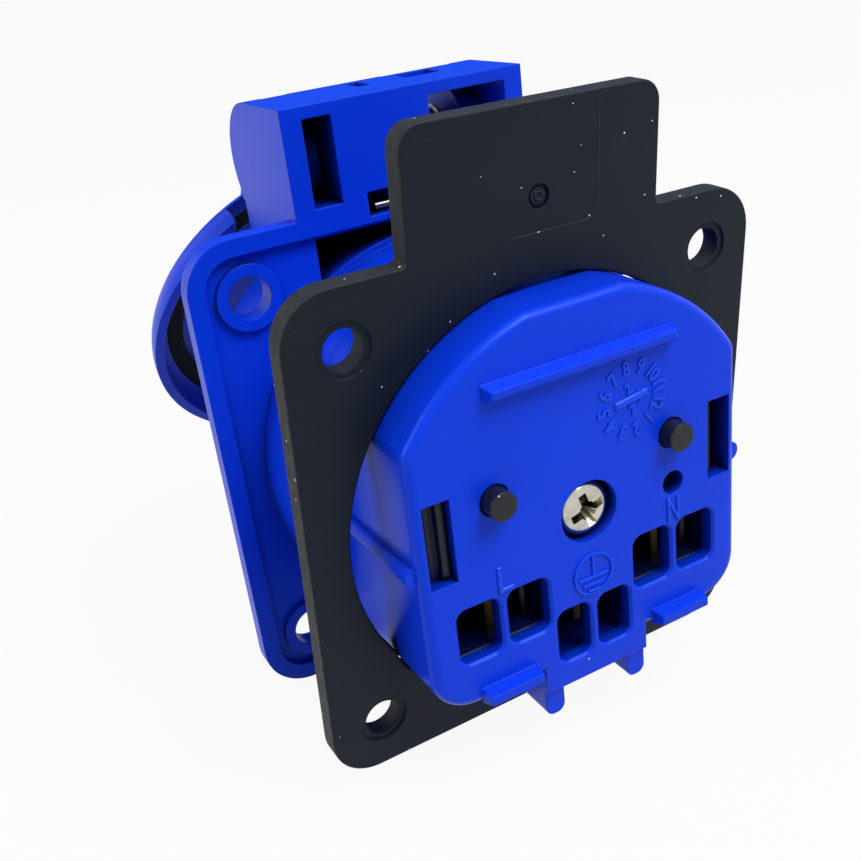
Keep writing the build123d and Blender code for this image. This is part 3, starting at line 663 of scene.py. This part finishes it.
def worked_out(piece):
    """The mesh of a curve, or of a piece with its modifiers."""
    bpy.context.view_layer.update()
    seen = piece.evaluated_get(bpy.context.evaluated_depsgraph_get())
    return bpy.data.meshes.new_from_object(seen)


half_side, half_tab = sheet_side / 2, sheet_tab_w / 2
sheet_corners = [
    (-half_side, -half_side, sheet_corner_r),
    (half_side, -half_side, sheet_corner_r),
    (half_side, half_side, sheet_corner_r),
    (half_tab, half_side, sheet_root_r),
    (half_tab, sheet_tab_top, sheet_tab_r),
    (-half_tab, sheet_tab_top, sheet_tab_r),
    (-half_tab, half_side, sheet_root_r),
    (-half_side, half_side, sheet_corner_r),
]
half_pitch = sheet_hole_pitch / 2
hole_places = [(x * half_pitch, z * half_pitch) for x in (1, -1) for z in (1, -1)]
sheet_lines = [softened(sheet_corners), bore_line()]
sheet_lines += [circle_line(x, z, sheet_hole_r) for x, z in hole_places]
outline = bpy.data.curves.new("gasket_outline", "CURVE")
outline.dimensions = "2D"
outline.fill_mode = "BOTH"
outline.extrude = sheet_t / 2 - sheet_edge_r
outline.bevel_depth = sheet_edge_r
outline.bevel_resolution = sheet_edge_round
outline.offset = -sheet_edge_r
for line in sheet_lines:
    run_through(outline, [(x, z, 0) for x, z in line], closed=True)
drawn = add_object("gasket_outline", outline)
cut_out = worked_out(drawn)
bpy.data.objects.remove(drawn)
rubber_sheet = bmesh.new()
rubber_sheet.from_mesh(cut_out)
bmesh.ops.remove_doubles(rubber_sheet, verts=rubber_sheet.verts, dist=weld_gap)
bmesh.ops.translate(rubber_sheet, verts=rubber_sheet.verts, vec=(0, 0, sheet_t / 2))
gasket = piece_from("panel_gasket", rubber_sheet, rubber, "gasket")


def stepped_disc(solid, x, z, steps_down, sides):
    """Adds a closed disc whose lower face steps through (radius, depth) pairs from its rim in."""
    rings = []
    for radius, deep in [(steps_down[0][0], cutter_rise)] + steps_down:
        line = circle_line(x, z, radius, sides)
        rings.append([solid.verts.new((*point, deep)) for point in line])
    for low, high in zip(rings, rings[1:]):
        band(solid, low, high)
    solid.faces.new(rings[0])
    solid.faces.new(rings[-1])


def carve(piece, cutter_solid, name):
    """Cuts a closed shape out of a piece and leaves the result in its mesh."""
    bmesh.ops.recalc_face_normals(cutter_solid, faces=cutter_solid.faces)
    cutter_mesh = bpy.data.meshes.new(name)
    cutter_solid.to_mesh(cutter_mesh)
    cutter_solid.free()
    cutter = add_object(name, cutter_mesh)
    cut = piece.modifiers.new(name, "BOOLEAN")
    cut.object = cutter
    cut.operation = "DIFFERENCE"
    cut.solver = "EXACT"
    cut.use_self = True
    carved = worked_out(piece)
    piece.modifiers.clear()
    piece.data = carved
    bpy.data.objects.remove(cutter)
    return carved


def smooth_over(mesh, sharp_from):
    """Shades a mesh smooth, but for edges that turn by more than an angle in degrees."""
    mesh.shade_smooth()
    mesh.set_sharp_from_angle(angle=math.radians(sharp_from))


recesses = bmesh.new()
for x, z in hole_places:
    stepped_disc(recesses, x, z, [(hole_ring_r, hole_ring_depth)], hole_ring_sides)
gate_steps = [
    (gate_groove_r, gate_deep),
    (gate_plate_r, gate_deep),
    (gate_plate_r - gate_plate_slope, gate_plate_deep),
    (gate_nub_r, gate_plate_deep),
    (gate_nub_r - gate_nub_slope, gate_nub_deep),
    (gate_crater_r, gate_nub_deep),
    (gate_crater_r - gate_crater_slope, gate_plate_deep),
]
stepped_disc(recesses, 0, gate_up, gate_steps, gate_sides)
gasket_mesh = carve(gasket, recesses, "gasket_recesses")
gasket_mesh.materials.append(rubber_edge)
for face in gasket_mesh.polygons:
    from_gate = math.hypot(face.center.x, face.center.y - gate_up)
    on_edge = abs(face.normal.z) < edge_slope and from_gate > gate_clear
    face.material_index = 1 if on_edge else 0
gasket_mesh.transform(gasket_hang)
smooth_over(gasket_mesh, gasket_sharp)
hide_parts("flange_gasket")

# Mould line: the fine line that the edge of the mould's insert left on the rubber tab. It is
# part of the sheet, a little proud of it, and scuffed paler.
mould_line = [
    (-6.25 * mm, 35.1 * mm),
    (-6.25 * mm, 26.0 * mm),
    (-6.05 * mm, 25.25 * mm),
    (-5.6 * mm, 24.8 * mm),
    (-4.9 * mm, 24.6 * mm),
    (2.9 * mm, 24.55 * mm),
]
mould_line_r, mould_line_deep, mould_line_round = 0.05 * mm, 0.01 * mm, 1
scuffed_rubber = surface_of(
    "scuffed_rubber_line",
    dict(
        Colour=(0.09, 0.085, 0.08, 1),
        Second_colour=(0.01, 0.012, 0.016, 1),
        Gloss_low=0.5,
        Gloss_high=0.65,
        Mottle_scale=500.0,
    ),
    rubbed_dust,
    rubbed_scratches,
    relief=0.2,
    shine=0.15,
    sheen=(0.8, 0.9, 1.0, 1),
)


def round_line(name, points, radius, roundness, material):
    """A round wire or ridge through points."""
    line = bpy.data.curves.new(name, "CURVE")
    line.dimensions = "3D"
    line.bevel_depth = radius
    line.bevel_resolution = roundness
    run_through(line, points)
    line.materials.append(material)
    return add_object(name, line)


mould_mark = round_line(
    "gasket_mould_line",
    [gasket_hang @ Vector((x, z, mould_line_deep)) for x, z in mould_line],
    mould_line_r,
    mould_line_round,
    scuffed_rubber,
)
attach(mould_mark, "gasket")

# Lid seal: ring of dull black rubber, pressed into the lid's groove. The lid hides
# most of it, so its colour is set darker than the gasket's as painted shade, and its
# painted recess shade goes near black.
shade_darkened_seal_rubber = surface_of(
    "black_seal_rubber_shade_darkened",
    dict(
        Colour=(0.0015, 0.003, 0.008, 1),
        Second_colour=(0.0025, 0.004, 0.009, 1),
        Gloss_low=0.5,
        Gloss_high=0.65,
    ),
    dict(Cells=900.0, Share=0.01, Speck=0.1),
    dict(Turn=(0.2, 0.4, 0.3), Scratch=(0.05, 0.05, 0.06, 1), Strength=0.1),
    relief=0.1,
    shine=0.06,
    sheen=(0.7, 0.85, 1.0, 1),
    shade=(0.0004, 0.001, 0.004, 1),
)
dress("lid_seal", shade_darkened_seal_rubber)

# Contacts and earth strap: brass strip, stamped and folded, dulled by handling. They sit in
# the carrier's rooms, dark inside the wire entries: their colour is set far darker than brass
# as painted shade, and their painted recess shade darkens them further.
metal_mottle = 900.0
metal_grain_depth = 0.05 * mm
metal_shade, metal_shade_from, metal_shade_to = (0.008, 0.008, 0.008, 1), 0.1, 0.42


def metal(name, colour, low, high, relief, stain=0.8, shade=metal_shade):
    """Bare or plated metal, a little uneven in its polish, with painted shade in recesses."""
    material, tree, shader = new_material(name, {"Metallic": 1.0})
    stained = tuple(stain * part for part in colour[:3]) + (1,)
    polish = use(
        tree,
        skin,
        Colour=colour,
        Second_colour=stained,
        Gloss_low=low,
        Gloss_high=high,
        Mottle_scale=metal_mottle,
    )
    shaded = use(tree, recess, Shade=shade, From=metal_shade_from, To=metal_shade_to)
    bump = place(tree, "ShaderNodeBump", {"Strength": relief, "Distance": metal_grain_depth})
    link_up(
        tree,
        (polish, "Colour", shaded, "Colour"),
        (shaded, "Colour", shader, "Base Color"),
        (polish, "Roughness", shader, "Roughness"),
        (polish, "Height", bump, "Height"),
        (bump, "Normal", shader, "Normal"),
    )
    return material


brass = metal("stamped_brass_shade_darkened", (0.055, 0.038, 0.016, 1), low=0.4, high=0.55, relief=0.1)
for conductor in ("live_contact", "neutral_contact", "earth_strap"):
    dress(conductor, brass)

# Clamp springs and grip bands: folded strips of blued spring steel. The clamps hold the wires
# in the entries, and the bands press the contact tubes on a plug's pins.
blued_steel = metal(
    "blued_spring_steel", (0.026, 0.03, 0.038, 1), low=0.25, high=0.4, relief=0.08
)
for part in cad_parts:
    if "clamp" in part or "grip" in part:
        dress(part, blued_steel)

# Hinge pin: bright drawn steel, pushed in from one side through the hinge block and the lid's
# two arms.
spring_steel = metal("spring_steel", (0.36, 0.355, 0.34, 1), low=0.24, high=0.36, relief=0.08)
dress("hinge_pin", spring_steel)

# Lid spring: round steel wire wound about the pin, one leg in the housing's rear window and
# the other on the lid's bridge. It stands for the plain CAD spring.
wire_r, wire_round = 0.45 * mm, 4
coil_r, coil_pitch, coil_turns, coil_steps = 2.3 * mm, 1.15 * mm, 4, 24
coil_start = -2.85 * mm
pin_y, pin_z = -8.5 * mm, 29.3 * mm
leg_x, leg_y, leg_z = 4.3 * mm, -1.4 * mm, 24.5 * mm
leg_middle_x, leg_bend, leg_bend_y = 0.4 * mm, 0.3 * mm, -2.5 * mm
lid_leg = 8.9 * mm
wire_points = [
    (leg_x, leg_y, leg_z),
    (leg_middle_x, leg_y, leg_z),
    (coil_start + leg_bend, leg_y, leg_z),
    (coil_start, leg_y, leg_z + leg_bend),
    (coil_start, leg_bend_y, pin_z - coil_r),
]
for step in range(coil_turns * coil_steps + 1):
    turns = step / coil_steps
    wound = 2 * math.pi * turns
    y, z = pin_y - coil_r * math.sin(wound), pin_z - coil_r * math.cos(wound)
    wire_points.append((coil_start - coil_pitch * turns, y, z))
wire_points.append((wire_points[-1][0], pin_y - lid_leg, pin_z - coil_r))
wound_spring = round_line("lid_spring_wire", wire_points, wire_r, wire_round, spring_steel)
wound_spring.data.use_fill_caps = True
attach(wound_spring, "housing")
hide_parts("lid_spring")

# Cover screw: nickel-plated pan head with a cross recess, down in its round well, where it
# holds the cover to the housing. It stands for the plain CAD screw.
# Its painted recess shade is a warm grey-brown, which darkens the cross recess
nickel = metal(
    "nickel_plate",
    (0.72, 0.69, 0.6, 1),
    low=0.12,
    high=0.24,
    relief=0.12,
    stain=0.45,
    shade=(0.1, 0.085, 0.05, 1),
)
head_r, head_rim, head_bevel = 2.88 * mm, 0.9 * mm, 0.1 * mm
head_seat_y, head_top_y = 23.6 * mm, 25.85 * mm
dome_steps, crown_share, crown_flat, crown_rise = 15, 0.42, 0.4, 0.03 * mm
shank_r, shank_tip_y = 1.3 * mm, 7.6 * mm
thread_pitch, thread_root, thread_tip = 0.75 * mm, 0.8, 0.6
thread_first, thread_last = 0.4 * mm, 1.2 * mm
screw_sides, screw_sharp = 64, 32
cross_turn = math.radians(-17)
cross_reach, cross_depth = 1.85 * mm, 1.5 * mm
cross_wide, cross_narrow, cross_taper = 0.95 * mm, 0.45 * mm, 0.45
cross_rise, cross_flare, cross_lap = 0.4 * mm, 0.25 * mm, 0.3 * mm
heart_sides = 8
heart_levels = (
    (1.05 * mm, head_top_y + 0.3 * mm),
    (0.84 * mm, head_top_y - 0.35 * mm),
    (0.35 * mm, head_top_y - 1.65 * mm),
)


def turned(solid, profile, steps):
    """Adds a turned shape about the socket's axis from (radius, depth) pairs."""
    rings = []
    for radius, depth in profile:
        if radius == 0:
            rings.append([solid.verts.new((0, depth, 0))] * steps)
            continue
        line = circle_line(0, 0, radius, steps)
        rings.append([solid.verts.new((x, depth, z)) for x, z in line])
    for low, high in zip(rings, rings[1:]):
        band(solid, low, high)


head_profile = [(0, shank_tip_y), (shank_r * thread_tip, shank_tip_y)]
depth = shank_tip_y + thread_first
while depth < head_seat_y - thread_last:
    head_profile += [(shank_r * thread_root, depth), (shank_r, depth + thread_pitch / 2)]
    depth += thread_pitch
head_profile += [
    (shank_r * thread_root, depth),
    (shank_r * thread_root, head_seat_y),
    (head_r - head_bevel, head_seat_y),
    (head_r, head_seat_y + head_bevel),
    (head_r, head_seat_y + head_rim),
]
dome_rise = head_top_y - head_seat_y - head_rim
for step in range(1, dome_steps):
    lift = math.radians(90 * step / dome_steps)
    share = crown_share + (1 - crown_share) * math.cos(lift)
    if step == dome_steps - 1:
        share = crown_flat
    head_profile.append((head_r * share, head_seat_y + head_rim + dome_rise * math.sin(lift)))
head_profile.append((0, head_top_y + crown_rise))
screw_solid = bmesh.new()
turned(screw_solid, head_profile, screw_sides)
screw = piece_from("cover_screw_head", screw_solid, nickel, "housing")

# The cross recess is cut by a flared heart and four tapered wings
wings = bmesh.new()
heart = []
for radius, level in heart_levels:
    line = circle_line(0, 0, radius, heart_sides, cross_turn)
    heart.append([wings.verts.new((x, level, z)) for x, z in line])
for low, high in zip(heart, heart[1:]):
    band(wings, low, high)
wings.faces.new(heart[0])
wings.faces.new(heart[-1])
mouth, bottom = head_top_y + cross_rise, head_top_y - cross_depth
for quarter in range(4):
    angle = cross_turn + quarter * math.pi / 2
    out = Vector((math.cos(angle), math.sin(angle)))
    aside = Vector((-out.y, out.x))
    corners = []
    for reach, half, level in (
        (-cross_lap, cross_wide / 2, mouth),
        (cross_reach + cross_flare, cross_wide / 2, mouth),
        (cross_reach * cross_taper, cross_narrow / 2, bottom),
        (-cross_lap, cross_narrow / 2, bottom),
    ):
        for side in (1, -1):
            flat = out * reach + aside * side * half
            corners.append(wings.verts.new((flat.x, level, flat.y)))
    left, right = corners[::2], corners[1::2]
    band(wings, left, right)
    wings.faces.new(left)
    wings.faces.new(right)
smooth_over(carve(screw, wings, "cross_recess"), screw_sharp)
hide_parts("cover_screw")

# Floor and backdrop: pale paper under a white room. The camera, a mirror and glass see them
# white, and the object is lit at a plain level.
floor_gap = 0.2 * mm
floor_z = cad_box[0][2] - floor_gap
floor_half = 6.0
paper_grey = (0.5, 0.5, 0.5, 1)
paper_rough, paper_veil = 0.9, 0.93
white = (1, 1, 1, 1)
room_strength = 0.36


def flat_sheet(name, corners):
    """One flat four-cornered face, as an object."""
    mesh = bpy.data.meshes.new(name)
    mesh.from_pydata(corners, [], [(0, 1, 2, 3)])
    return add_object(name, mesh)


def shown_white(tree):
    """A node that is 1 for rays by which the camera, a mirror or glass sees the backdrop."""
    ray = place(tree, "ShaderNodeLightPath")
    mirror = place(tree, "ShaderNodeMath", operation="MAXIMUM")
    glass = place(tree, "ShaderNodeMath", operation="MAXIMUM")
    link_up(
        tree,
        (ray, "Is Camera Ray", mirror, 0),
        (ray, "Is Glossy Ray", mirror, 1),
        (mirror, "Value", glass, 0),
        (ray, "Is Transmission Ray", glass, 1),
    )
    return glass


floor_ways = ((-1, -1), (1, -1), (1, 1), (-1, 1))
floor = flat_sheet("floor", [(x * floor_half, y * floor_half, floor_z) for x, y in floor_ways])
paper, paper_tree, paper_shader = new_material(
    "pale_paper", {"Base Color": paper_grey, "Roughness": paper_rough}
)
glow = place(paper_tree, "ShaderNodeEmission")
veil = place(paper_tree, "ShaderNodeMath", {1: paper_veil}, operation="MULTIPLY")
paper_mix = place(paper_tree, "ShaderNodeMixShader")
link_up(
    paper_tree,
    (shown_white(paper_tree), "Value", veil, 0),
    (veil, "Value", paper_mix, "Fac"),
    (paper_shader, "BSDF", paper_mix, 1),
    (glow, "Emission", paper_mix, 2),
    (paper_mix, "Shader", paper_tree.nodes["Material Output"], "Surface"),
)
floor.data.materials.append(paper)

world = bpy.data.worlds.new("studio")
bpy.context.scene.world = world
world.use_nodes = True
sky = world.node_tree
room = sky.nodes["Background"]
room.inputs["Color"].default_value = white
room.inputs["Strength"].default_value = room_strength
backdrop = place(sky, "ShaderNodeBackground", {"Color": white})
sky_mix = place(sky, "ShaderNodeMixShader")
link_up(
    sky,
    (shown_white(sky), "Value", sky_mix, "Fac"),
    (room, "Background", sky_mix, 1),
    (backdrop, "Background", sky_mix, 2),
    (sky_mix, "Shader", sky.nodes["World Output"], "Surface"),
)

# Blue card: a sheet out of the camera's sight that glows blue by its own emission, a painted
# reflection: the grazing faces mirror it instead of the white room. Only mirror rays see it.
card_half_w, card_low, card_high = 0.5, -0.02, 0.55
card_at = Vector((-0.28, -0.62, 0.0))
card_colour = (0.03, 0.14, 0.6, 1)
card_side = Vector((card_at.y, -card_at.x, 0)).normalized() * card_half_w
card_left, card_right = (card_at - card_side).xy, (card_at + card_side).xy
card = flat_sheet(
    "blue_card",
    [
        (*card_left, card_low),
        (*card_right, card_low),
        (*card_right, card_high),
        (*card_left, card_high),
    ],
)
card.visible_camera = False
card.visible_diffuse = False
card.visible_shadow = False
card.visible_transmission = False
card_blue = bpy.data.materials.new("blue_card")
card_blue.use_nodes = True
card_tree = card_blue.node_tree
card_light = place(card_tree, "ShaderNodeEmission", {"Color": card_colour})
card_end = card_tree.nodes["Material Output"]
link_up(card_tree, (card_light, "Emission", card_end, "Surface"))
card.data.materials.append(card_blue)

# Light and camera: two soft lamps, and the camera where the photograph was taken, behind the
# socket, to the left and above.
key_at, key_power = (-0.16, 0.3, 0.5), 3.5
side_at, side_power = (0.5, -0.1, 0.3), 1.2
lamp_size = 0.3
camera_at = (48.76 * mm, 95.04 * mm, 48.98 * mm)
camera_turn = (64.745, 6.523, 150.691)
sensor_w, focal_length, nearest = 36, 44.86, 0.005


def lamp(name, at, power):
    """Soft square lamp aimed at the socket."""
    light = bpy.data.lights.new(name, "AREA")
    light.energy = power
    light.size = lamp_size
    stand = add_object(name, light)
    stand.location = at
    stand.rotation_euler = (-Vector(at)).to_track_quat("-Z", "Y").to_euler()


lamp("key_lamp", key_at, key_power)
lamp("side_lamp", side_at, side_power)

view = bpy.data.cameras.new("camera")
view.sensor_width = sensor_w
view.lens = focal_length
view.clip_start = nearest
camera = add_object("camera", view)
camera.location = camera_at
camera.rotation_euler = [math.radians(turn) for turn in camera_turn]
bpy.context.scene.camera = camera
bpy.context.scene.view_settings.view_transform = "Standard"
